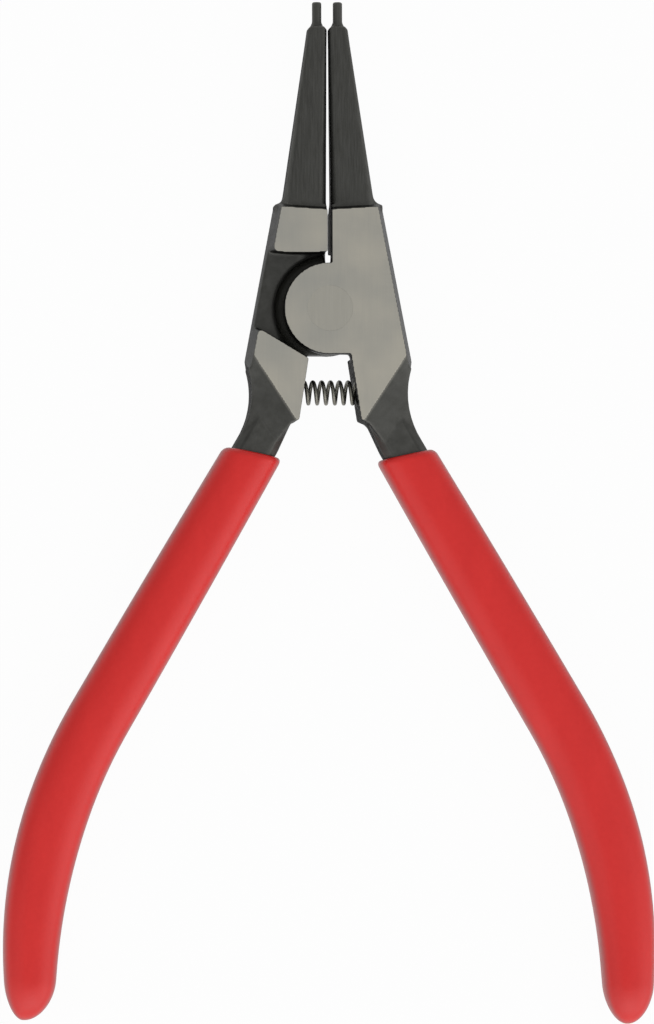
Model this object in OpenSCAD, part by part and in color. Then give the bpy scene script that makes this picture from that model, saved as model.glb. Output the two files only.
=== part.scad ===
// Circlip pliers with straight tips, for rings on a shaft.
// Two forgings of one shape lap over each other on a rivet that is ground flush. They don't cross, so
// squeezing the handles spreads the tips, and the coil spring brings the tips together again.
// Millimetres. +Y runs towards the tips, +Z is up, and the origin is on the pivot axis at the ground face
// that lies on the bench. Inside the modules z is measured from the middle of the thickness.

/* [Tips] */
// Distance from the pivot axis to the end of the tip pins
tip_reach = 42.3; // [36:0.1:60]
// Diameter of the pin that enters the eye of a ring
pin_d = 1.3; // [0.9:0.1:1.6]
// Length of the pin beyond the shoulder of the tip
pin_len = 3.4; // [2.6:0.1:5]
// Length of the cone at the root of the pin
pin_root_len = 0.6; // [0.3:0.05:1]
// Chamfer on the end of the pin
pin_chamfer = 0.15; // [0.05:0.05:0.3]
// Width of a tip at its shoulder
shoulder_w = 2.66; // [2.3:0.02:3.4]
// Thickness of a tip at its shoulder
shoulder_t = 2.3; // [2:0.05:3]
// Chamfer on the two corners of the shoulder
shoulder_chamfer = 0.42; // [0.2:0.02:0.5]
// Width of a tip where it leaves the head
tip_root_w = 5.95; // [5:0.05:6.4]
// Thickness of a tip where it leaves the head
tip_root_t = 5.6; // [4.5:0.1:7]
// How far the edges of a tip are turned off at its root
tip_edge_root = 0.55; // [0.2:0.05:0.8]
// How far the edges of a tip are turned off at its shoulder
tip_edge_end = 0.25; // [0.1:0.05:0.4]
// Gap between the two tips at the shoulders
tip_gap = 0.2; // [0.1:0.05:0.6]
// Gap between the two tips at the head
tip_root_gap = 0.68; // [0.4:0.02:1]

/* [Head] */
// Thickness of the head over its two ground faces
head_t = 8.4; // [7.6:0.1:10]
// Distance from the pivot axis up to the top of the head
head_top = 14.35; // [12:0.05:17]
// Distance from the middle to the outer corner at the top of the head
head_top_x = 7.45; // [7.25:0.05:9]
// Distance from the pivot axis down to the widest point of the head
head_low = 7; // [6:0.1:8]
// Distance from the middle to the widest point of the head
head_low_x = 11.5; // [11:0.1:13]
// Gap between the two inner faces above the joint
jaw_gap = 0.6; // [0.3:0.05:1]
// How far the forged sides lean in between the parting line and a ground face
side_inset = 0.9; // [0.4:0.05:1.4]
// Fall of the slope from the ground face to the tip, along the tool
nose_run = 0.4; // [0.2:0.05:1.5]
// Angle at which the upper edge of the ground face falls towards the middle
nose_tilt = 3.5; // [0:0.5:6]
// Radius of the fillet between the head and the outer edge of the tip
nose_fillet = 1.5; // [0.5:0.1:2]

/* [Lap joint] */
// Radius of the lap, the round half-thickness disc round the rivet
lap_r = 6.24; // [5.6:0.02:6.8]
// Room round the lap in the pocket of the other forging
pocket_room = 1.15; // [0.5:0.05:1.2]
// Running gap between the two laps
lap_gap = 0.06; // [0.02:0.01:0.2]
// Height of the forged land outside the pocket, over the middle of the thickness
land_t = 1.6; // [0.6:0.1:2.6]
// Distance from the pivot axis to the lowest point of the arched edge above the recess
arch_low = 7.6; // [7.3:0.05:8.5]
// Radius of that arched edge
arch_r = 45; // [15:1:90]
// Slope of the straight edge below the recess
recess_slope = 31; // [15:1:40]

/* [Rivet] */
// Diameter of the rivet
rivet_d = 5; // [3.5:0.1:6]
// Diameter of its two countersunk heads, ground flush
rivet_head_d = 6.2; // [6.1:0.1:8]
// Depth of the countersinks
rivet_head_t = 0.7; // [0.4:0.05:1.2]
// Radial running gap in the forging that turns on the rivet
rivet_gap = 0.04; // [0.01:0.01:0.1]

/* [Spring window] */
// Distance from the pivot axis down to the top of the window
throat_top = 6.2; // [5.8:0.05:6.2]
// Distance from the middle to an inner face at the top of the window
throat_x = 2.85; // [2.4:0.05:3.6]
// Distance from the middle to the tip of a stop lug
lug_x = 4.25; // [4:0.05:5]
// Distance from the pivot axis down to the tip of a stop lug
lug_low = 15.2; // [14.2:0.1:16]
// Distance along the handle from the pivot to the foot of the lug
lug_foot = 16.2; // [15.6:0.1:17.5]

/* [Spring] */
// Outer diameter of the coil
spring_d = 3.5; // [2.6:0.1:4]
// Diameter of the wire
wire_d = 0.55; // [0.4:0.05:0.7]
// Number of turns, with one closed turn at each end
spring_turns = 11.5; // [8:0.5:13]
// Distance from the pivot axis down to the axis of the spring
spring_low = 11.4; // [10.5:0.1:12]
// Depth of the blind hole that holds each end
socket_depth = 3; // [2:0.1:3.6]
// Room round the coil in its hole
socket_room = 0.2; // [0.1:0.05:0.4]
// Play of the coil at the floor of its hole
seat_gap = 0.05; // [0.02:0.01:0.2]

/* [Handles] */
// Angle of a handle to the middle line
handle_angle = 30.2; // [28:0.1:33]
// How far the middle line of a handle passes inside the pivot axis
handle_offset = 0.9; // [0.5:0.05:1.2]
// Width of the steel inside the grip
tang_w = 5.66; // [5:0.02:6.4]
// Thickness of the steel inside the grip
tang_t = 6.2; // [5:0.1:6.8]
// Chamfer along the four edges of that steel
tang_chamfer = 1; // [0.9:0.1:1.8]
// Radius of the hollow waist between head and handle
waist_r = 11.5; // [9:0.1:16]
// Distance along the handle to the end of the waist
waist_end = 21.1; // [20:0.1:23]
// Distance from the pivot axis to the lower edge of the ground faces
facet_reach = 12.15; // [11.8:0.05:12.8]
// Angle of that edge to the middle line
facet_angle = 33.2; // [28:0.2:38]
// Slope of the forged shank below that edge
shank_slope = 15; // [10:0.5:20]
// How far the inner side of the shank stands back at the foot of the lug
shank_pinch = 0.4; // [0:0.05:0.8]
// Distance along the handle to the start of its bend
bend_start = 63.9; // [50:0.1:75]
// Radius of the bend
bend_r = 70.7; // [50:0.1:120]
// Angle of the bend
bend_angle = 29.2; // [20:0.1:32]
// Length of the steel beyond the bend
tail_len = 3.3; // [1:0.1:10]

/* [Grips] */
// Thickness of the dipped coat
coat_t = 1.05; // [0.6:0.05:1.6]
// Distance along the handle from the end of the waist to the dip line
dip_start = 1.45; // [1.3:0.05:6]
// Lean of the dip line against a square cut
dip_lean = 18; // [0:1:22]
// Length of the rounded lip at the dip line
lip_len = 0.9; // [0.4:0.05:1.5]
// Extra coat on each side at the palm
palm_swell = 0.5; // [0:0.02:0.8]
// Distance along the handle to the middle of the palm
palm_at = 76.5; // [60:0.5:85]
// Distance from there to where the swell is gone
palm_fall = 19.5; // [17:0.5:40]
// Length of coat beyond the end of the steel on the left
left_drip_len = 3.65; // [3.6:0.05:8]
// Length of coat beyond the end of the steel on the right
right_drip_len = 4.65; // [3.6:0.05:8]
// Length over which the end of the grip is rounded
dome_len = 5.5; // [5:0.1:8]
// How far the drip at the end of the left grip hangs outwards
left_drip = 0.8; // [-1:0.1:1]
// How far the drip at the end of the right grip hangs outwards
right_drip = -0.2; // [-1:0.1:1]
// Squareness of the grip's section, where 2 is an ellipse
grip_square = 2.7; // [2.2:0.1:4]

/* [Hidden] */
$fn = 96;
// How far a cutter runs past what it cuts
past = 1;
// Longer than anything a cutter has to reach across
far = 40;
half_t = head_t / 2;

// The tip, in plan
shoulder_y = tip_reach - pin_len;
tip_in = tip_gap / 2;
tip_out = tip_in + shoulder_w;
root_in = tip_root_gap / 2;
root_out = root_in + tip_root_w;
pin_x = tip_in + shoulder_w / 2;
root_x = root_in + tip_root_w / 2;
tip_len = shoulder_y - head_top;
tip_lean = (tip_out - root_out) / tip_len;
tip_root_r = norm([tip_root_w, tip_root_t]) / 2 - tip_edge_root;

// The handle: its line, the two sides of the steel, the bend and its end
line_n = -handle_offset;
steel_in = line_n - tang_w / 2;
steel_out = line_n + tang_w / 2;
bend_middle = on_handle(bend_start, line_n - bend_r);
bend_len = bend_r * bend_angle * PI / 180;
bend_end = bend_start + bend_len;
end_angle = handle_angle - bend_angle;
waist_middle = on_handle(waist_end, steel_out + waist_r);
steel_end = bend_end + tail_len;
// The forged shank stops a little before its side runs tangent into the tang
shank_end = waist_end - past / 2;

// The recess and the spring
pocket_r = lap_r + pocket_room;
inner_face = function(low) throat_x + (lug_x - throat_x) * (low - throat_top) / (lug_low - throat_top);
socket_floor = inner_face(spring_low) + socket_depth;
socket_d = spring_d + 2 * socket_room;

// The grip
dip_at = waist_end + dip_start;
grip_sides = 28;
lip_inset = 0.6 * coat_t;
grip_half_w = tang_w / 2 + coat_t;
grip_half_t = tang_t / 2 + coat_t;

// Direction across a handle, outwards, where the handle leans by a
function across(a) = [cos(a), sin(a)];
// Direction down a handle that leans by a
function down(a) = [sin(a), -cos(a)];
// Point in plan at distance u down the straight handle and n outwards of the pivot axis
function on_handle(u, n) = u * down(handle_angle) + n * across(handle_angle);
// Lean of the handle at distance u
function lean_at(u) = handle_angle - bend_angle * min(max((u - bend_start) / bend_len, 0), 1);
// Point on the handle's middle line at distance u
function line_at(u) =
    u < bend_start ? on_handle(u, line_n)
    : bend_middle + bend_r * across(lean_at(u)) + max(u - bend_end, 0) * down(end_angle);

// Section of the steel inside a grip, chamfered along its edges
tang_section =
    let (w = tang_w / 2, t = tang_t / 2, c = tang_chamfer)
    [[-w, c - t], [c - w, -t], [w - c, -t], [w, c - t], [w, t - c], [w - c, t], [c - w, t], [-w, t - c]];
// That section at distance u down the handle, with its inner side standing back by pinch
function tang_ring(u, pinch) =
    [for (q = tang_section)
        let (p = line_at(u) + (q.x < 0 ? q.x + pinch : q.x) * across(lean_at(u)))
        [p.x, p.y, q.y]];

// A solid between rings of points that all have the same number of points
module skin(rings) {
    n = len(rings[0]);
    last = len(rings) - 1;
    sides = [for (r = [0:last - 1], k = [0:n - 1])
        let (a = r * n + k, b = r * n + (k + 1) % n, c = b + n, d = a + n)
        each [[a, c, b], [a, d, c]]];
    ends = [[for (k = [0:n - 1]) k], [for (k = [n - 1:-1:0]) last * n + k]];
    polyhedron([for (r = rings) each r], concat(sides, ends), convexity = 6);
}

// Stands the children's profile across the handle at distance u, to be extruded down the handle
module across_handle(p, a) {
    translate([p.x, p.y, 0]) rotate([0, 0, a]) rotate([90, 0, 0]) children();
}

// Both faces of a forging, the children being drawn for the upper one
module both_faces() {
    children();
    mirror([0, 0, 1]) children();
}

// The bar of steel that the grip is dipped on: straight, bent and straight again
module tang() {
    bend_steps = 14;
    bend = [for (i = [0:bend_steps]) bend_start + bend_len * i / bend_steps];
    skin(concat(
        [tang_ring(lug_foot, shank_pinch)],
        [for (u = concat([shank_end], bend, [steel_end])) tang_ring(u, 0)]
    ));
}

// Outline of the forging from the top of the head down to the shank, with its lap.
// The inner side of the shank runs out along the chamfer of the tang.
module forging_plan() {
    difference() {
        union() {
            polygon([
                [jaw_gap / 2, head_top],
                [head_top_x, head_top],
                [head_low_x, -head_low],
                waist_middle,
                on_handle(shank_end, steel_out + past),
                on_handle(shank_end, steel_in + tang_chamfer),
                on_handle(lug_foot, steel_in + shank_pinch),
                [lug_x, -lug_low],
                [throat_x, -throat_top],
                [0, -throat_top],
                [jaw_gap / 2, 0],
            ]);
            circle(lap_r);
        }
        translate(waist_middle) circle(waist_r);
    }
}

// What is taken off the sides of the head, so that they lean in from the parting line
module side_cut() {
    run = [head_low_x - head_top_x, -head_low - head_top];
    lean = atan2(run.x, -run.y);
    reach = side_inset * (half_t + past) / half_t;
    across_handle([head_top_x, head_top], lean)
        translate([0, 0, -past])
            linear_extrude(norm(run) + 2 * past)
                polygon([[0, 0], [-reach, half_t + past], [past, half_t + past], [past, 0]]);
}

// What is taken off above the shank, which falls away from the lower edge of the ground face
module shank_slope_cut() {
    fall = far * tan(shank_slope);
    rotate([0, 0, -facet_angle])
        rotate([90, 0, 0])
            linear_extrude(2 * far, center = true)
                polygon([
                    [facet_reach, half_t],
                    [facet_reach + far, half_t - fall],
                    [facet_reach + far, half_t + past],
                    [facet_reach, half_t + past],
                ]);
}

// What is taken off above the head's top edge, down to the level of the tip
module nose_cut() {
    level = tip_root_t / 2;
    end = nose_run + 2 * past;
    translate([head_top_x, head_top - nose_run, 0])
        rotate([0, 0, nose_tilt])
            rotate([90, 0, 90])
                linear_extrude(far, center = true)
                    polygon([
                        [0, half_t],
                        [nose_run, level],
                        [end, level],
                        [end, half_t + past],
                        [0, half_t + past],
                    ]);
}

// The forged recess beside the lap of the other forging, in plan
module recess_plan() {
    touch = pocket_r * down(recess_slope);
    edge = across(recess_slope);
    difference() {
        polygon([
            [-past, head_top - past],
            [far, head_top - past],
            touch + far * edge,
            touch - lap_r * edge,
        ]);
        translate([(jaw_gap / 2 + head_top_x) / 2, arch_low + arch_r]) circle(arch_r);
    }
}

// The pocket in which the lap of the other forging turns, and the recess beside it
module recess_cut() {
    translate([0, 0, -half_t - past]) {
        cylinder(r = pocket_r, h = half_t + past + lap_gap / 2);
        linear_extrude(half_t + past - land_t) recess_plan();
    }
}

// The hole for the rivet and its countersink in the ground face of the lap
module rivet_hole(gap) {
    cylinder(d = rivet_d + 2 * gap, h = head_t + 2 * past, center = true);
    translate([0, 0, half_t - rivet_head_t])
        cylinder(d1 = rivet_d + 2 * gap, d2 = rivet_head_d + 2 * gap, h = rivet_head_t);
}

// The blind hole that holds one end of the spring
module spring_socket() {
    translate([0, -spring_low, 0]) rotate([0, 90, 0]) cylinder(d = socket_d, h = socket_floor);
}

// Head and shank: a blank of the plan outline, ground on both faces and cut for the joint
module head(gap) {
    difference() {
        linear_extrude(head_t, center = true) forging_plan();
        both_faces() {
            side_cut();
            shank_slope_cut();
            nose_cut();
        }
        recess_cut();
        rivet_hole(gap);
        spring_socket();
    }
}

// The fillet between the top of the head and the outer edge of the tip, as thick as the tip's flat side
module nose_collar() {
    thick = 2 * sqrt(tip_root_r * tip_root_r - tip_root_w * tip_root_w / 4);
    r = min(nose_fillet, (head_top_x - root_out) / (tip_lean + sqrt(1 + tip_lean * tip_lean)));
    x = root_out + tip_lean * r + r * sqrt(1 + tip_lean * tip_lean);
    linear_extrude(thick, center = true)
        difference() {
            translate([root_x, head_top - past]) square([x - root_x, r + past]);
            translate([x, head_top + r]) circle(r);
        }
}

// The tapered tip: flat in front, behind and at its sides, with its edges turned off to a cone
module tip_taper() {
    slant = norm([root_x - pin_x, tip_len]);
    end_r = norm([shoulder_w, shoulder_t]) / 2 - tip_edge_end;
    grow = past * (tip_root_r - end_r) / slant;
    lean = atan2(root_x - pin_x, tip_len);
    c = shoulder_chamfer;
    intersection() {
        linear_extrude(head_t, center = true)
            polygon([
                [root_in, head_top - past],
                [root_in, head_top],
                [tip_in, shoulder_y - c],
                [tip_in + c, shoulder_y],
                [tip_out - c, shoulder_y],
                [tip_out, shoulder_y - c],
                [root_out, head_top],
                [root_out, head_top - past],
            ]);
        rotate([90, 0, 90])
            linear_extrude(far)
                polygon([
                    [head_top - past, -tip_root_t / 2],
                    [head_top, -tip_root_t / 2],
                    [shoulder_y, -shoulder_t / 2],
                    [shoulder_y, shoulder_t / 2],
                    [head_top, tip_root_t / 2],
                    [head_top - past, tip_root_t / 2],
                ]);
        translate([root_x, head_top, 0])
            rotate([0, 0, lean])
                rotate([-90, 0, 0])
                    translate([0, 0, -2 * past])
                        cylinder(r1 = tip_root_r + 2 * grow, r2 = end_r - grow, h = slant + 3 * past);
    }
}

// The pin that enters the eye of a ring, with a cone at its root and a chamfer at its end
module tip_pin() {
    translate([pin_x, shoulder_y, 0])
        rotate([-90, 0, 0]) {
            translate([0, 0, -past]) cylinder(d = pin_d, h = past + pin_len - pin_chamfer);
            translate([0, 0, pin_len - pin_chamfer])
                cylinder(d1 = pin_d, d2 = pin_d - 2 * pin_chamfer, h = pin_chamfer);
            cylinder(d1 = shoulder_w - 2 * shoulder_chamfer, d2 = pin_d, h = pin_root_len);
        }
}

// One forging, drawn as the right-hand one with its lap on top
module forging(gap) {
    head(gap);
    nose_collar();
    tip_taper();
    tip_pin();
    tang();
}

// Half of the grip's width at distance u, without the rounding at its ends
function grip_side(u) =
    let (span = u < palm_at ? palm_at - dip_at : palm_fall)
    grip_half_w + palm_swell * (1 - pow((u - palm_at) / span, 2));
// How far the end of the grip has narrowed at distance d from its end
function dome_at(d) = d < dome_len ? sqrt(1 - pow(1 - d / dome_len, 2)) : 1;
// Coordinate on a rounded square section
function rounded(x) = sign(x) * pow(abs(x), 2 / grip_square);
// One ring of a grip that ends at end in a drip, leaning with the dip line by shear and drawn in by inset
function grip_ring(u, inset, shear, end, drip) =
    let (
        dome = dome_at(end - u),
        w = dome * grip_side(u) - inset,
        t = dome * grip_half_t - inset
    )
    [for (k = [0:grip_sides - 1])
        let (
            x = w * rounded(cos(360 * k / grip_sides)) + drip * (1 - dome),
            z = t * rounded(sin(360 * k / grip_sides)),
            v = u + shear * x,
            p = line_at(v) + x * across(lean_at(v))
        ) [p.x, p.y, z]];

// The dipped coat of one handle, drawn for the right-hand one
module grip(drip_len, drip) {
    lip_steps = 4;
    straight_steps = 5;
    bend_steps = 14;
    dome_steps = 7;
    end = steel_end + drip_len;
    straight_from = dip_at + lip_len;
    dome_from = end - dome_len;
    lip = [for (i = [0:lip_steps - 1])
        let (a = 90 * i / lip_steps)
        [dip_at + lip_len * (1 - cos(a)), lip_inset * (1 - sin(a))]];
    straight = [for (i = [0:straight_steps - 1])
        [straight_from + (bend_start - straight_from) * i / straight_steps, 0]];
    bend = [for (i = [0:bend_steps - 1]) [bend_start + (dome_from - bend_start) * i / bend_steps, 0]];
    dome = [for (i = [0:dome_steps - 1]) [end - dome_len * (1 - sin(88 * i / dome_steps)), 0]];
    stations = concat(lip, straight, bend, dome);
    shear_len = bend_start - dip_at;
    difference() {
        skin([for (s = stations)
            grip_ring(s[0], s[1], tan(dip_lean) * max(1 - (s[0] - dip_at) / shear_len, 0), end, drip)]);
        tang();
    }
}

// The coil spring, along X between the floors of the two sockets
module coil_spring() {
    steps = 18;
    wire_sides = 8;
    coil_r = (spring_d - wire_d) / 2;
    span = 2 * (socket_floor - seat_gap) - wire_d;
    closed = 1.05 * wire_d;
    pitch = (span - 2 * closed) / (spring_turns - 2);
    rise = function(turn)
        closed * min(turn, 1) + pitch * min(max(turn - 1, 0), spring_turns - 2)
        + closed * max(turn - spring_turns + 1, 0);
    skin([for (i = [0:steps * spring_turns])
        let (turn = i / steps, a = 360 * turn)
        [for (k = [0:wire_sides - 1])
            let (
                b = 360 * k / wire_sides,
                r = coil_r + wire_d / 2 * cos(b)
            ) [rise(turn) - span / 2 - wire_d / 2 * sin(b), r * cos(a) - spring_low, r * sin(a)]]]);
}

// Lifts a piece from the middle of the thickness to the bench
module on_bench() {
    translate([0, 0, half_t]) children();
}

// Turns a right-hand piece over to the left
module turned_over() {
    rotate([0, 180, 0]) children();
}

module right_lever() {
    color("#4a4a47") on_bench() forging(rivet_gap);
}

module left_lever() {
    color("#4a4a47") on_bench() turned_over() forging(0);
}

module pivot_rivet() {
    color("#96938b") on_bench() {
        cylinder(d = rivet_d, h = head_t, center = true);
        both_faces()
            translate([0, 0, half_t - rivet_head_t])
                cylinder(d1 = rivet_d, d2 = rivet_head_d, h = rivet_head_t);
    }
}

module return_spring() {
    color("#5f5d58") on_bench() coil_spring();
}

module right_grip() {
    color("#c83a38") on_bench() grip(right_drip_len, right_drip);
}

module left_grip() {
    color("#c83a38") on_bench() turned_over() grip(left_drip_len, left_drip);
}

left_lever();
right_lever();
pivot_rivet();
return_spring();
left_grip();
right_grip();
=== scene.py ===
"""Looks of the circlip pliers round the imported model. Metres, in the model's own frame."""

import math

import bmesh
import bpy
import numpy as np
from mathutils import Matrix, Vector


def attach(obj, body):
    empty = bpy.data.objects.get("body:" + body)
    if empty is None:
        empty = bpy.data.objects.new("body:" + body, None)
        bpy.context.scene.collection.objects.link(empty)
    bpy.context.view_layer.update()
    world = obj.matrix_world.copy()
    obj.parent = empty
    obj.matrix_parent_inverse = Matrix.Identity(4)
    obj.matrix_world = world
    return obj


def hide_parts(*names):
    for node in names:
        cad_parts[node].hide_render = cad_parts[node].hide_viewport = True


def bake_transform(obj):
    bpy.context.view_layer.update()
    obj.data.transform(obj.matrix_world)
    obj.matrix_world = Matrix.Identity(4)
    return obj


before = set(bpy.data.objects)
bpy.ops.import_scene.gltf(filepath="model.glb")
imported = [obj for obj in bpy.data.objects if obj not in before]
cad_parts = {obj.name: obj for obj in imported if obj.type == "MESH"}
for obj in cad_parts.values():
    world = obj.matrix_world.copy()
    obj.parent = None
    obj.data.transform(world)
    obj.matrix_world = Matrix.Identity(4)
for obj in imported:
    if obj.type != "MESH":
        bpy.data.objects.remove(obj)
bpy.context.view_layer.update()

MM = 0.001

# Sizes in mm, as in the part's source

# Half of the head's thickness
HALF_T = 4.2
# Lean of a handle, and its middle line's distance from a parallel through the pivot
HANDLE_ANGLE = math.radians(30.2)
LINE_N = -0.9
# Width and thickness of the bar inside a grip
TANG_W, TANG_T = 5.66, 6.2
# Bend of a handle: its start along the handle, its radius and its angle, and the straight tail after it
BEND_START, BEND_R, BEND_ANGLE = 63.9, 70.7, math.radians(29.2)
TAIL_LEN = 3.3
# Coat: the end of the bare waist along the handle and the dip's start after it, the slope of the dip's
# border, the thickness, and the rounded lip
WAIST_END, DIP_START = 21.1, 1.45
DIP_LEAN = math.tan(math.radians(18))
COAT_T = 1.05
LIP_LEN, LIP_INSET = 0.9, 0.6 * COAT_T
# Swell of a grip under the palm, where it is widest, and the length over which it falls off below
PALM_SWELL, PALM_AT, PALM_FALL = 0.5, 76.5, 19.5
# Length of a grip's round end
DOME_LEN = 5.5
# Length and sideways hang of the drip at each grip's end
DRIPS = {"left": (3.65, 0.8), "right": (4.65, -0.2)}
# Spring: outer diameter, wire, turns and distance below the pivot
SPRING_D, WIRE_D, SPRING_TURNS, SPRING_LOW = 3.5, 0.55, 11.5, 11.4
# Inner side of a lever beside the spring: heights below the pivot and distances from the middle
THROAT_TOP, THROAT_X, LUG_LOW, LUG_X = 6.2, 2.85, 15.2, 4.25
# Socket of the spring: its depth, and the gap between its floor and the wire
SOCKET_DEPTH, SEAT_GAP = 3.0, 0.05

BEND_LEN = BEND_R * BEND_ANGLE
BEND_END = BEND_START + BEND_LEN
STEEL_END = BEND_END + TAIL_LEN
DIP_AT = WAIST_END + DIP_START
GRIP_HALF_T = TANG_T / 2 + COAT_T
INNER_FACE = THROAT_X + (LUG_X - THROAT_X) * (SPRING_LOW - THROAT_TOP) / (LUG_LOW - THROAT_TOP)
SOCKET_FLOOR = INNER_FACE + SOCKET_DEPTH

# Meshes, with lengths in mm

# How much further up each handle the dip reached than the source says
DIP_RISE = {"left": 0.35, "right": 0.0}
# Exponents of the rounded square of a grip's section and of the bar's
GRIP_SQUARE, BAR_SQUARE = 2.7, 5.0
# Sides of a grip, and its rings along the bar, the lip, the skin below it and the round end
GRIP_SIDES = 48
BAR_RINGS, LIP_RINGS, SKIN_RINGS, END_RINGS = 60, 8, 110, 22
# Share of the lip's length at which the skin on the bar ends
BAR_SKIN_TOP = 0.4
# Sides of the wire and rings in a turn of the spring, and the pitch of its closed end turns in wires
WIRE_SIDES, TURN_RINGS, CLOSED_PITCH = 12, 28, 1.05
# Rounding of the forgings: size of a voxel, radius of the recess's corners, and share of faces kept
VOXEL, CORNER_R, FACES_KEPT = 0.12, 0.8, 0.1
# Corners of the recess: least X, the heights between which they lie, and least length
RECESS_X, RECESS_LOW, RECESS_HIGH, CORNER_LEN = 6, -6.5, 12, 1.2
# Rounds of smoothing of all edges, of the pocket's rim, and of the shade in hollow edges
SMOOTH_ROUNDS, RIM_ROUNDS, HOLLOW_SHADE_ROUNDS = 16, 50, 10
# Where the rounding changes: depth below a ground face, height of the pins, reach from the pivot beside
# the rivet, and reach and depth of the pocket's rim
FORGED_FROM, PINS_FROM, RIVET_TO = (0.05, 0.6), (36.0, 38.0), (3.3, 3.8)
RIM_FROM, RIM_TO, RIM_DEPTH = (6.7, 7.2), (8.6, 7.8), (1.5, 2.2)
# Weight of the rounding on ground edges, and the share of it lost on the pins
GROUND_WEIGHT, PINS_LOSS = 0.12, 0.85
# Mouth of the rivet's hole: about its radius after the rounding, its width to either side of that, and
# the radius just outside the rivet's head to which it is closed
MOUTH_R, MOUTH_BAND, CLOSED_R = 3.2, 0.2, 3.11
# Depth to which points are put into a ground face, there and at the mouth, and depth that counts as in it
FACE_SAG, MOUTH_SAG, FLAT_WITHIN = 0.03, 0.14, 0.002

# Where one look passes into the next, in mm: heights along the tool, reach from the pivot, and distance
# from the middle of the thickness
# The spans of the shank, the land and the grips' ends here, and of the pocket below, bound painted shade
SHANK_SHADE_FROM, LAND_SHADE_TO, TIP_FROM, GRIP_END_SHADE_FROM = (-8.0, -11.0), (9.0, 11.0), (14.0, 16.0), (-91.5, -96.0)
POCKET_SHADE_TO = 7.0, 8.1
RECESS_TO = 1.7, 2.3
GROUND_FROM, GRAZED_FROM = (HALF_T - 0.02, HALF_T - 0.004), (HALF_T - 0.12, HALF_T - 0.01)

# Colours, the darker one first where there are two
GROUND_GREYS = (0.446, 0.440, 0.398, 1), (0.552, 0.527, 0.454, 1)
FORGED_GREYS = (0.073, 0.073, 0.067, 1), (0.104, 0.104, 0.097, 1)
RIVET_GREYS = (0.470, 0.456, 0.401, 1), (0.495, 0.480, 0.422, 1)
WIRE_GREYS = (0.15, 0.147, 0.125, 1), (0.25, 0.245, 0.21, 1)
WORN_GREY = (0.2, 0.197, 0.182, 1)
# Painted shade: on the shank's sloping faces, on the recess's land, on upright sides, in hollow edges and
# in the pocket round the lap
SHANK_SHADE_GREY = (0.03, 0.03, 0.028, 1)
LAND_SHADE_GREY = (0.012, 0.012, 0.012, 1)
UPRIGHT_SHADE_GREY = (0.03, 0.03, 0.029, 1)
HOLLOW_SHADE_GREY = (0.02, 0.02, 0.018, 1)
POCKET_SHADE_GREY = (0.024, 0.024, 0.019, 1)
# Tint of the reflections on faces that look up, and a dimmer one that paints shade into the reflections on
# upright faces
EDGE_TINT, UPRIGHT_SHADE_TINT = (0.8, 0.8, 0.8, 1), (0.3, 0.3, 0.3, 1)
VINYL_REDS = (0.63, 0.0105, 0.0085, 1), (0.685, 0.0145, 0.0115, 1)
# A deeper red, painted as shade on the grips' sides and ends
VINYL_SHADE_RED = (0.16, 0.008, 0.008, 1)
WHITE = (1, 1, 1, 1)
FLOOR_GREY = (0.55, 0.55, 0.55, 1)

# Light: the sky's level at the horizon and overhead, what is added on the key light's side, and the
# share of it all that is kept towards -X
HORIZON, OVERHEAD, KEY_GLOW, LEFT_SHARE = 0.8, 0.555, 0.5, 0.8
# Direction of the key light over the floor
KEY_SIDE = (0.3, -0.954, 0.0)
# Place and power of each lamp, and the diameter of both
LAMPS = {"key": ((0.50, -0.58, 0.45), 3.6), "fill": ((-0.46, -0.60, 0.44), 2.8)}
LAMP_SIZE = 1.5
# Floor: half of its side, its depth below the tool, and the share of it that glows white to the view
FLOOR_REACH, FLOOR_DROP, FLOOR_GLOW = 4.0, 0.00005, 0.97

# Camera: the point in the middle of the picture, the scale there, and the picture's height in pixels
MIDDLE = Vector((-0.00021, -0.02773, 0.0042))
PIXELS_PER_MM = 7.3
IMAGE_HEIGHT = 1024
# Distance of the camera, its place left of and below the point over the middle, and its roll
CAMERA_DISTANCE = 0.9
CAMERA_LEFT, CAMERA_LOW, CAMERA_ROLL = math.radians(4.3), math.radians(1.8), math.radians(0.17)


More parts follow.
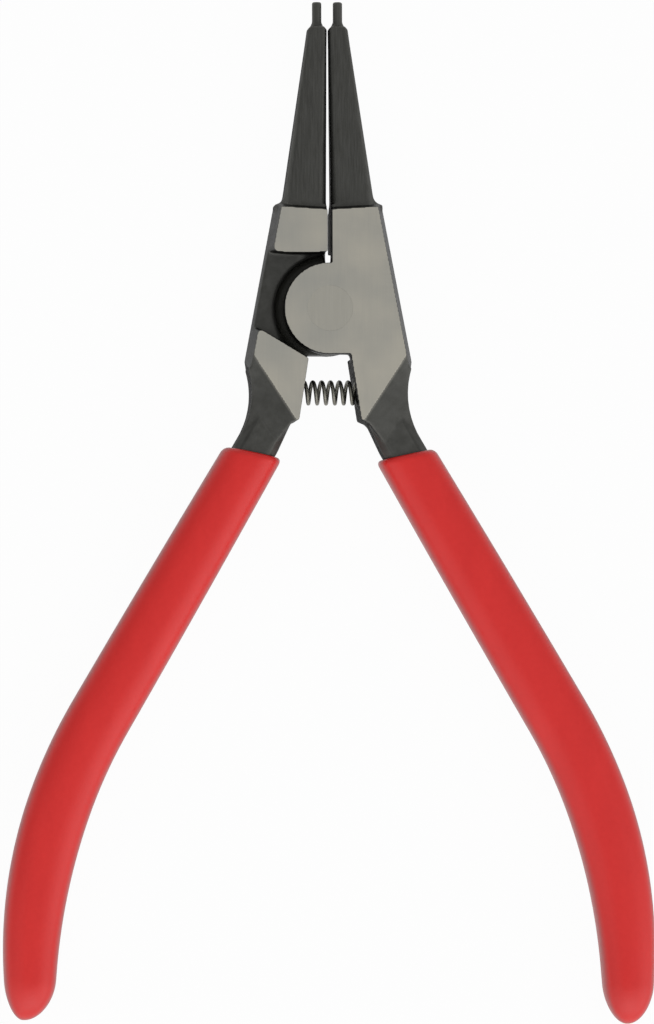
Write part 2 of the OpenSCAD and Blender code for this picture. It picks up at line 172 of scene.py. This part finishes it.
class Graph:
    """The node tree of a material or a world, with short calls that add and join nodes."""

    def __init__(self, owner):
        owner.use_nodes = True
        self.owner = owner
        self.tree = owner.node_tree

    def feed(self, socket, value):
        if isinstance(value, bpy.types.NodeSocket):
            self.tree.links.new(value, socket)
        else:
            socket.default_value = value

    def add(self, kind, sockets, **settings):
        node = self.tree.nodes.new("ShaderNode" + kind)
        for key, value in settings.items():
            setattr(node, key, value)
        for key, value in sockets.items():
            self.feed(node.inputs[key], value)
        return node

    def math(self, operation, a, b=0.0):
        return self.add("Math", {0: a, 1: b}, operation=operation).outputs[0]

    def times(self, a, b):
        return self.math("MULTIPLY", a, b)

    def axes(self, vector):
        return self.add("SeparateXYZ", {0: vector}).outputs

    def place(self):
        """The point in the piece's own frame, in mm."""
        point = self.add("TexCoord", {}).outputs["Object"]
        return self.stretch(point, (1 / MM,) * 3)

    def facing_up(self):
        """1 on faces that look straight up or down, 0 on upright ones."""
        normal = self.add("NewGeometry", {}).outputs["Normal"]
        return self.math("ABSOLUTE", self.axes(normal)[2])

    def stretch(self, point, scale, turn=0.0):
        sockets = {"Vector": point, "Scale": scale, "Rotation": (0, 0, turn)}
        return self.add("Mapping", sockets).outputs[0]

    def noise(self, point, scale=1.0, detail=3.0, roughness=0.5):
        sockets = {"Vector": point, "Scale": scale, "Detail": detail, "Roughness": roughness}
        return self.add("TexNoise", sockets).outputs["Fac"]

    def attribute(self, name):
        return self.add("Attribute", {}, attribute_name=name).outputs["Fac"]

    def span(self, value, start, end, low=0.0, high=1.0, soft=False):
        """The value from start to end, spread from low to high."""
        sockets = {"Value": value, "From Min": start, "From Max": end, "To Min": low, "To Max": high}
        kind = "SMOOTHSTEP" if soft else "LINEAR"
        return self.add("MapRange", sockets, interpolation_type=kind).outputs[0]

    def fade(self, value, start, end):
        """Softly from 1 at start to 0 at end."""
        return self.span(value, start, end, low=1.0, high=0.0, soft=True)

    def mix(self, share, a, b):
        """Two colours mixed by share."""
        node = self.add("Mix", {0: share}, data_type="RGBA")
        self.feed(node.inputs[6], a)
        self.feed(node.inputs[7], b)
        return node.outputs[2]

    def blend(self, share, a, b):
        """Two numbers mixed by share."""
        node = self.add("Mix", {0: share}, data_type="FLOAT")
        self.feed(node.inputs[2], a)
        self.feed(node.inputs[3], b)
        return node.outputs[0]

    def bump(self, height, depth):
        """Normals of a surface whose height runs from 0 to 1 over depth mm."""
        raised = self.times(height, depth)
        return self.add("Bump", {"Height": raised, "Distance": MM}).outputs[0]

    def finish(self, **sockets):
        """Feeds the surface shader and gives the material."""
        shader = self.tree.nodes["Principled BSDF"]
        for key, value in sockets.items():
            self.feed(shader.inputs[key.replace("_", " ")], value)
        return self.owner


def new_material(name):
    return Graph(bpy.data.materials.new(name))


def grinding(g, place):
    """Fine marks along the tool, from the last pass of the grinding wheel."""
    along = g.stretch(place, (9.0, 0.22, 1.0), turn=math.radians(8))
    return g.noise(along, detail=4.0, roughness=0.6)


def ground_colour(g, place, grind):
    """Bright steel, with painted light that makes it a little lighter on the right and towards the handles.
    """
    x, y, _ = g.axes(place)
    broad = g.noise(place, scale=0.16, detail=2.0)
    tone = g.math("ADD", g.times(grind, 0.2), g.times(broad, 0.8))
    # Painted light: lighter on the right and towards the handles, the side of the key light
    tone = g.math("ADD", tone, g.span(x, -10.0, 8.0, low=-0.12, high=0.08))
    tone = g.math("ADD", tone, g.span(y, -9.0, 0.0, low=0.12, high=0.0))
    return g.mix(g.span(tone, 0.3, 0.7), *GROUND_GREYS)


def forged_colour(g, place, level, pocket_shade, cloud, streak):
    """Dark steel, worn pale on edges, with painted shade in hollows, on upright sides, on the shank's
    sloping faces, on the recess's land and round the pocket.
    """
    _, y, _ = g.axes(place)
    facing = g.facing_up()
    worn = g.times(g.attribute("wear"), g.span(cloud, 0.35, 0.65, low=0.15, high=0.6))
    # Painted shade on the shank's sloping faces
    shank_shade = g.times(g.span(y, *SHANK_SHADE_FROM), g.fade(facing, 0.97, 0.992))
    # Painted shade on the recess's land
    land_shade = g.times(g.span(y, *LAND_SHADE_TO, low=1.0, high=0.0), g.fade(level, *RECESS_TO))
    colour = g.mix(g.span(streak, 0.3, 0.7), *FORGED_GREYS)
    colour = g.mix(worn, colour, WORN_GREY)
    colour = g.mix(g.times(shank_shade, 0.25), colour, SHANK_SHADE_GREY)
    colour = g.mix(g.times(land_shade, 0.2), colour, LAND_SHADE_GREY)
    # Painted shade on upright sides
    colour = g.mix(g.times(g.fade(facing, 0.15, 0.5), 0.85), colour, UPRIGHT_SHADE_GREY)
    # Painted shade in hollow edges
    colour = g.mix(g.times(g.attribute("hollow_shade"), 0.6), colour, HOLLOW_SHADE_GREY)
    # Painted shade in the pocket
    return g.mix(g.times(pocket_shade, 0.85), colour, POCKET_SHADE_GREY)


def steel_look():
    """A forging burnished dark, with its two flat faces ground bright."""
    g = new_material("forged_steel")
    place = g.place()
    _, y, z = g.axes(place)
    level = g.math("ABSOLUTE", g.math("SUBTRACT", z, HALF_T))
    ground = g.span(level, *GROUND_FROM, soft=True)
    grazed = g.span(level, *GRAZED_FROM, low=0.0, high=0.22, soft=True)
    flat = g.add("VectorMath", {0: place, 1: (1, 1, 0)}, operation="MULTIPLY").outputs[0]
    reach = g.add("VectorMath", {0: flat}, operation="LENGTH").outputs["Value"]
    # Painted shade in the pocket round the lap, where the steel is also made dull
    pocket_shade = g.times(g.fade(reach, *POCKET_SHADE_TO), g.fade(level, *RECESS_TO))

    grind = grinding(g, place)
    cross = g.noise(g.stretch(place, (0.5, 6.0, 1.0), turn=math.radians(-5)), roughness=0.6)
    cloud = g.noise(place, scale=0.7, detail=5.0, roughness=0.6)
    grain = g.noise(place, scale=9.0, roughness=0.6)
    draw = g.noise(g.stretch(place, (4.5, 0.12, 4.5)), roughness=0.55)
    streak = g.blend(g.span(y, *TIP_FROM), cloud, draw)

    bright = ground_colour(g, place, grind)
    dark = forged_colour(g, place, level, pocket_shade, cloud, streak)
    smooth = g.span(g.math("ADD", grind, cross), 0.7, 1.3, low=0.34, high=0.4)
    matt = g.span(g.blend(0.5, cloud, grain), 0.35, 0.65, low=0.38, high=0.5)
    height = g.blend(ground, g.blend(0.45, grain, streak), g.blend(0.3, grind, cross))
    return g.finish(
        Base_Color=g.mix(g.math("MAXIMUM", ground, grazed), dark, bright),
        Metallic=g.span(pocket_shade, 0.0, 1.0, low=1.0, high=0.15),
        Specular_IOR_Level=0.3,
        # A dimmer tint on upright faces paints shade into their reflections
        Specular_Tint=g.mix(g.fade(g.facing_up(), 0.06, 0.17), EDGE_TINT, UPRIGHT_SHADE_TINT),
        Roughness=g.blend(ground, matt, smooth),
        Normal=g.bump(height, g.blend(ground, 0.03, 0.003)),
    )


def rivet_look():
    """The rivet, ground in one pass with the faces round it."""
    g = new_material("rivet_steel")
    grind = grinding(g, g.place())
    return g.finish(
        Base_Color=g.mix(g.span(grind, 0.3, 0.7), *RIVET_GREYS),
        Metallic=1.0,
        Roughness=g.span(grind, 0.35, 0.65, low=0.34, high=0.4),
        Normal=g.bump(grind, 0.003),
    )


def wire_look():
    """Drawn spring wire, dark and finely mottled."""
    g = new_material("spring_steel")
    marks = g.noise(g.place(), scale=5.0, detail=4.0, roughness=0.6)
    return g.finish(
        Base_Color=g.mix(g.span(marks, 0.35, 0.65), *WIRE_GREYS),
        Metallic=1.0,
        Roughness=g.span(marks, 0.35, 0.65, low=0.36, high=0.48),
        Normal=g.bump(marks, 0.01),
    )


def vinyl_look():
    """Dipped vinyl: satin, with a faint skin and an uneven red, and painted shade on the sides and towards
    the ends.
    """
    g = new_material("red_vinyl")
    place = g.place()
    flow = g.noise(g.stretch(place, (0.35, 0.09, 0.35)))
    skin = g.noise(place, scale=1.6, detail=2.0)
    pores = g.noise(place, scale=7.0, roughness=0.6)
    red = g.mix(g.span(g.blend(0.35, flow, skin), 0.3, 0.7), *VINYL_REDS)
    # Painted shade: a deeper red on the sides and towards the grips' ends
    side = g.span(g.facing_up(), 0.1, 0.7, low=0.55, high=0.0, soft=True)
    end = g.span(g.axes(place)[1], *GRIP_END_SHADE_FROM, low=0.0, high=0.12, soft=True)
    return g.finish(
        Base_Color=g.mix(g.math("MAXIMUM", side, end), red, VINYL_SHADE_RED),
        Roughness=g.span(g.blend(0.5, skin, pores), 0.35, 0.65, low=0.34, high=0.42),
        Specular_IOR_Level=0.5,
        Normal=g.bump(g.blend(0.35, skin, pores), 0.02),
    )


def linked(name, data):
    """A new object in the scene."""
    made = bpy.data.objects.new(name, data)
    bpy.context.scene.collection.objects.link(made)
    return made


def show(name, mesh, body, node, material):
    """A piece that stands for a CAD node, and rides on a body if one is given."""
    piece = linked(name, mesh)
    mesh.materials.clear()
    mesh.materials.append(material)
    for face in mesh.polygons:
        face.use_smooth = True
    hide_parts(node)
    if body:
        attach(piece, body)
    return piece


def modified(mesh, kind, **settings):
    """A copy of the mesh with one modifier applied."""
    holder = linked("holder", mesh)
    modifier = holder.modifiers.new(kind, kind)
    for key, value in settings.items():
        setattr(modifier, key, value)
    graph = bpy.context.evaluated_depsgraph_get()
    made = bpy.data.meshes.new_from_object(holder.evaluated_get(graph))
    bpy.data.objects.remove(holder)
    return made


def in_recess_corner(edge):
    """Whether an edge is an upright corner between the forged recess and the side of the head."""
    sharp = math.radians(30)
    if len(edge.link_faces) != 2 or edge.calc_face_angle(0) < sharp:
        return False
    middle = (edge.verts[0].co + edge.verts[1].co) / 2 / MM
    run = (edge.verts[1].co - edge.verts[0].co) / MM
    upright = abs(run.z) > 0.8 * run.length and run.length > CORNER_LEN
    on_side = abs(middle.x) > RECESS_X and RECESS_LOW < middle.y < RECESS_HIGH
    return upright and on_side


def cornered(source):
    """A copy of a forging's mesh with the upright corners of its recess rounded."""
    weld = 0.002 * MM
    coplanar = math.radians(0.6)
    bm = bmesh.new()
    bm.from_mesh(source)
    bmesh.ops.remove_doubles(bm, verts=bm.verts, dist=weld)
    bmesh.ops.dissolve_limit(bm, angle_limit=coplanar, verts=bm.verts, edges=bm.edges)
    corners = [e for e in bm.edges if in_recess_corner(e)]
    bmesh.ops.bevel(bm, geom=corners, offset=CORNER_R * MM, segments=6, profile=0.5, affect="EDGES")
    mesh = bpy.data.meshes.new("cornered")
    bm.to_mesh(mesh)
    bm.free()
    return mesh


def ease(value, start, end):
    """Softly from 0 at start to 1 at end."""
    share = np.clip((value - start) / (end - start), 0, 1)
    return share * share * (3 - 2 * share)


def read(items, key, width=1, kind=np.float32):
    """One property of all the items of a mesh."""
    values = np.empty(len(items) * width, kind)
    items.foreach_get(key, values)
    return values


def neighbour_pull(mesh):
    """A function that says how far the middle of a point's neighbours lies from it."""
    count = len(mesh.vertices)
    pairs = read(mesh.edges, "vertices", 2, np.int32)
    one, two = pairs.reshape(-1, 2).T
    share = 1 / np.maximum(np.bincount(pairs, minlength=count), 1)[:, None]

    def pull(values):
        sums = [np.bincount(one, c[two], count) + np.bincount(two, c[one], count) for c in values.T]
        return np.stack(sums, 1) * share - values

    return pull


def smooth(values, pull, weight, rounds):
    """Moves values halfway to the middle of their neighbours, times their weight, in each round."""
    for _ in range(rounds):
        values += 0.5 * weight[:, None] * pull(values)


def from_axis(points):
    """Distance of points from the pivot's axis."""
    return np.hypot(points[:, 0], points[:, 1])


def below_ground_face(points):
    """Depth of points below the nearer ground face."""
    return HALF_T - np.abs(points[:, 2] - HALF_T)


def flatten_ground(points):
    """Puts what is almost in a ground face into it, and closes the rivet's hole there round the rivet."""
    mouth = np.abs(from_axis(points) - MOUTH_R) < MOUTH_BAND
    flush = below_ground_face(points) < np.where(mouth, MOUTH_SAG, FACE_SAG)
    level = np.where(points[:, 2] < HALF_T, 0, 2 * HALF_T)
    points[flush, 2] = level[flush]
    lip = flush & mouth
    out = from_axis(points[lip])
    points[lip, :2] *= np.where(out < MOUTH_R, CLOSED_R / out, 1)[:, None]


def soften(mesh):
    """Rounds forged edges, hardly the ground ones, and notes convex edges as wear, hollow ones as painted
    shade.
    """
    points = read(mesh.vertices, "co", 3).reshape(-1, 3).astype(float) / MM
    pull = neighbour_pull(mesh)

    depth = below_ground_face(points)
    forged = ease(depth, *FORGED_FROM)
    on_pins = ease(points[:, 1], *PINS_FROM)
    off_rivet = ease(from_axis(points), *RIVET_TO)
    weight = (GROUND_WEIGHT + (1 - GROUND_WEIGHT) * forged) * (1 - PINS_LOSS * on_pins) * off_rivet
    smooth(points, pull, weight, SMOOTH_ROUNDS)

    reach = from_axis(points)
    weight = ease(reach, *RIM_FROM) * ease(reach, *RIM_TO) * ease(depth, *RIM_DEPTH)
    smooth(points, pull, weight, RIM_ROUNDS)

    flatten_ground(points)
    mesh.vertices.foreach_set("co", (points * MM).astype(np.float32).ravel())
    mesh.update()
    normals = read(mesh.vertex_normals, "vector", 3).reshape(-1, 3)
    bulge = -(pull(points) * normals).sum(1)
    # Painted shade along hollow edges, spread by smoothing
    hollow = ease(-bulge, 0.003, 0.010)[:, None]
    smooth(hollow, pull, np.ones(len(hollow)), HOLLOW_SHADE_ROUNDS)
    notes = {"wear": ease(bulge, 0.004, 0.014), "hollow_shade": np.clip(2 * hollow[:, 0], 0, 1)}
    for name, value in notes.items():
        attribute = mesh.attributes.new(name, "FLOAT", "POINT")
        attribute.data.foreach_set("value", value.astype(np.float32))


def part_ground_faces(mesh):
    """Marks the borders of the two ground faces as sharp, so that these faces are shaded as flat."""
    heights = np.abs(read(mesh.vertices, "co", 3)[2::3] / MM - HALF_T)
    corner_verts = read(mesh.loops, "vertex_index", kind=np.int32)
    corner_edges = read(mesh.loops, "edge_index", kind=np.int32)
    starts = read(mesh.polygons, "loop_start", kind=np.int32)
    counts = read(mesh.polygons, "loop_total", kind=np.int32)
    in_face = heights > HALF_T - FLAT_WITHIN
    ground = np.logical_and.reduceat(in_face[corner_verts], starts)
    sides = np.bincount(corner_edges, np.repeat(ground, counts), len(mesh.edges))
    mesh.edges.foreach_set("use_edge_sharp", sides == 1)


def lever_mesh(node):
    """The forging of a CAD lever with its edges rounded."""
    fine = modified(cornered(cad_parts[node].data), "REMESH", mode="VOXEL", voxel_size=VOXEL * MM)
    soften(fine)
    mesh = modified(fine, "DECIMATE", ratio=FACES_KEPT)
    part_ground_faces(mesh)
    return mesh


def across(lean):
    """Direction across a handle that leans by this angle."""
    return np.array([math.cos(lean), math.sin(lean)])


def down(lean):
    """Direction down a handle that leans by this angle."""
    return np.array([math.sin(lean), -math.cos(lean)])


def on_handle(u, n):
    """Point at u along the straight part of the right-hand handle and n across it."""
    return u * down(HANDLE_ANGLE) + n * across(HANDLE_ANGLE)


def lean_at(u):
    """Lean of the handle at distance u along it."""
    return HANDLE_ANGLE - BEND_ANGLE * min(max((u - BEND_START) / BEND_LEN, 0), 1)


def line_at(u):
    """Point on the middle line of the right-hand handle."""
    if u < BEND_START:
        return on_handle(u, LINE_N)
    middle = on_handle(BEND_START, LINE_N - BEND_R)
    tail = max(u - BEND_END, 0) * down(HANDLE_ANGLE - BEND_ANGLE)
    return middle + BEND_R * across(lean_at(u)) + tail


def grip_side(u):
    """Half of a grip's width at distance u along the handle."""
    span = PALM_AT - DIP_AT if u < PALM_AT else PALM_FALL
    return TANG_W / 2 + COAT_T + PALM_SWELL * (1 - ((u - PALM_AT) / span) ** 2)


def dome_at(d):
    """Share of the full section at distance d from the end."""
    return math.sqrt(max(1 - (1 - d / DOME_LEN) ** 2, 0)) if d < DOME_LEN else 1.0


def section(square):
    """Points round a section of half size 1, a rounded square."""
    turn = 2 * math.pi * np.arange(GRIP_SIDES) / GRIP_SIDES
    return [np.sign(f(turn)) * np.abs(f(turn)) ** (2 / square) for f in (np.cos, np.sin)]


def grip_ring(u, w, t, drip=0.0, square=GRIP_SQUARE):
    """Points of the grip at distance u, leaning with the dip line near the top."""
    shear = DIP_LEAN * max(1 - (u - DIP_AT) / (BEND_START - DIP_AT), 0)
    xs, zs = section(square)
    ring = []
    for x, z in zip(w * xs + drip, t * zs):
        v = u + shear * x
        p = line_at(v) + x * across(lean_at(v))
        ring.append((p[0], p[1], z))
    return ring


def grip_mesh(half):
    """The dipped coat: the outer skin with a rounded lip and end, and the skin that clings to the steel."""
    drip_len, drip = DRIPS[half]
    end = STEEL_END + drip_len
    start = DIP_AT - DIP_RISE[half]
    quarter = math.pi / 2
    rings = []
    for u in np.linspace(STEEL_END, start + BAR_SKIN_TOP * LIP_LEN, BAR_RINGS):
        rings.append(grip_ring(u, TANG_W / 2, TANG_T / 2, square=BAR_SQUARE))
    for a in np.linspace(0, quarter, LIP_RINGS):
        u = start + LIP_LEN * (1 - math.cos(a))
        inset = LIP_INSET * (1 - math.sin(a))
        rings.append(grip_ring(u, grip_side(u) - inset, GRIP_HALF_T - inset))
    for u in np.linspace(start + LIP_LEN, end - DOME_LEN, SKIN_RINGS)[1:]:
        rings.append(grip_ring(u, grip_side(u), GRIP_HALF_T))
    for a in np.linspace(0, quarter, END_RINGS)[1:-1]:
        u = end - DOME_LEN * (1 - math.sin(a))
        dome = dome_at(end - u)
        rings.append(grip_ring(u, dome * grip_side(u), dome * GRIP_HALF_T, drip=drip * (1 - dome)))
    return skin_mesh(half + "_coat", rings, left=half == "left")


def skin_mesh(name, rings, left=False):
    """A closed mesh over rings of points given in mm round the middle of the thickness."""
    points = np.array(rings, float)
    if left:
        points = points * (-1, 1, -1)
    points[..., 2] += HALF_T
    count, sides = points.shape[:2]
    faces = [list(range(sides)), [(count - 1) * sides + k for k in range(sides)]]
    for r in range(count - 1):
        for k in range(sides):
            a, b = r * sides + k, r * sides + (k + 1) % sides
            faces.append([a, b, b + sides, a + sides])
    bm = bmesh.new()
    verts = [bm.verts.new(p * MM) for p in points.reshape(-1, 3)]
    for f in faces:
        bm.faces.new([verts[i] for i in f])
    bmesh.ops.recalc_face_normals(bm, faces=bm.faces)
    mesh = bpy.data.meshes.new(name)
    bm.to_mesh(mesh)
    bm.free()
    return mesh


def spring_mesh():
    """The coil between the floors of its two sockets, with a closed turn at each end."""
    coil_r = (SPRING_D - WIRE_D) / 2
    span = 2 * (SOCKET_FLOOR - SEAT_GAP) - WIRE_D
    closed = CLOSED_PITCH * WIRE_D
    pitch = (span - 2 * closed) / (SPRING_TURNS - 2)
    rings = []
    for i in range(int(TURN_RINGS * SPRING_TURNS) + 1):
        turn = i / TURN_RINGS
        a = 2 * math.pi * turn
        rise = closed * min(turn, 1) + pitch * min(max(turn - 1, 0), SPRING_TURNS - 2)
        rise += closed * max(turn - SPRING_TURNS + 1, 0)
        ring = []
        for k in range(WIRE_SIDES):
            b = 2 * math.pi * k / WIRE_SIDES
            r = coil_r + WIRE_D / 2 * math.cos(b)
            x = rise - span / 2 - WIRE_D / 2 * math.sin(b)
            ring.append((x, r * math.cos(a) - SPRING_LOW, r * math.sin(a)))
        rings.append(ring)
    return skin_mesh("return_spring_coil", rings)


def make_halves():
    """The two forgings, each with its dipped coat."""
    steel = steel_look()
    vinyl = vinyl_look()
    for half in ("left", "right"):
        body = half + "_half"
        lever = half + "_lever"
        forging = show(half + "_forging", lever_mesh(lever), body, lever, steel)
        forging.modifiers.new("even_shading", "WEIGHTED_NORMAL").keep_sharp = True
        show(half + "_coat", grip_mesh(half), body, half + "_grip", vinyl)


def make_spring():
    """The spring between its two sockets, with its placement baked into the mesh."""
    spring = show("return_spring_coil", spring_mesh(), None, "return_spring", wire_look())
    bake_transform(spring)


def finish_rivet():
    """The rivet stays as the CAD node, with its own finish."""
    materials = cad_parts["pivot_rivet"].data.materials
    materials.clear()
    materials.append(rivet_look())


def white_to_view(g):
    """1 for a ray that sees the background, directly or in metal, and 0 for one that gathers light."""
    path = g.add("LightPath", {}).outputs
    direct_or_glossy = g.math("MAXIMUM", path["Is Camera Ray"], path["Is Glossy Ray"])
    return g.math("MAXIMUM", direct_or_glossy, path["Is Transmission Ray"])


def make_floor():
    """A pale floor that is white to the camera and keeps a faint shadow."""
    g = new_material("floor_white")
    g.finish(Base_Color=FLOOR_GREY, Roughness=0.9, Specular_IOR_Level=0.0)
    glow = g.add("Emission", {"Color": WHITE, "Strength": 1.0}).outputs[0]
    pale = g.tree.nodes["Principled BSDF"].outputs[0]
    both = g.add("MixShader", {0: g.times(white_to_view(g), FLOOR_GLOW), 1: pale, 2: glow})
    g.feed(g.tree.nodes["Material Output"].inputs["Surface"], both.outputs[0])

    mesh = bpy.data.meshes.new("floor")
    corners = [(-1, -1), (1, -1), (1, 1), (-1, 1)]
    points = [(x * FLOOR_REACH, y * FLOOR_REACH, -FLOOR_DROP) for x, y in corners]
    mesh.from_pydata(points, [], [(0, 1, 2, 3)])
    mesh.materials.append(g.owner)
    floor = linked("floor", mesh)


def make_world():
    """White at the horizon, greyer overhead, and brighter on the side of the key light."""
    g = Graph(bpy.data.worlds.new("studio"))
    bpy.context.scene.world = g.owner
    towards = g.add("TexCoord", {}).outputs["Generated"]
    x, _, z = g.axes(towards)
    aside = g.add("VectorMath", {0: towards, 1: KEY_SIDE}, operation="DOT_PRODUCT").outputs["Value"]
    lit = g.times(g.span(aside, -0.1, 0.8, low=0.0, high=KEY_GLOW, soft=True), g.fade(z, 0.55, 0.95))
    sky = g.span(z, 0.12, 0.38, low=HORIZON, high=OVERHEAD, soft=True)
    shade = g.span(x, -0.8, 0.1, low=LEFT_SHARE, high=1.0, soft=True)
    level = g.times(g.math("ADD", sky, lit), shade)
    glow = g.tree.nodes["Background"].inputs
    g.feed(glow["Color"], WHITE)
    g.feed(glow["Strength"], g.math("MINIMUM", level, 1.0))


def make_lamps():
    """Two wide, faint lamps, both aimed at the middle of the tool."""
    for name, (place, power) in LAMPS.items():
        data = bpy.data.lights.new(name, "AREA")
        data.shape = "DISK"
        data.size = LAMP_SIZE
        data.energy = power
        lamp = linked(name, data)
        lamp.location = place
        lamp.rotation_euler = (MIDDLE - Vector(place)).to_track_quat("-Z", "Y").to_euler()


def make_camera():
    """A long lens above the tool, a little to its left and below."""
    back = Vector((-math.sin(CAMERA_LEFT), -math.sin(CAMERA_LOW), 1)).normalized()
    right = Vector((0, 1, 0)).cross(back).normalized()
    up = back.cross(right)
    rolled_right = (right - CAMERA_ROLL * up).normalized()
    rolled_up = (up + CAMERA_ROLL * right).normalized()
    data = bpy.data.cameras.new("camera")
    data.lens = data.sensor_width * CAMERA_DISTANCE / (IMAGE_HEIGHT / PIXELS_PER_MM * MM)
    data.clip_start, data.clip_end = 0.01, 20
    camera = linked("camera", data)
    turn = Matrix((rolled_right, rolled_up, back)).transposed().to_4x4()
    camera.matrix_world = Matrix.Translation(MIDDLE + CAMERA_DISTANCE * back) @ turn
    bpy.context.scene.camera = camera


make_halves()
make_spring()
finish_rivet()
make_floor()
make_world()
make_lamps()
make_camera()

bpy.context.scene.view_settings.view_transform = "Standard"
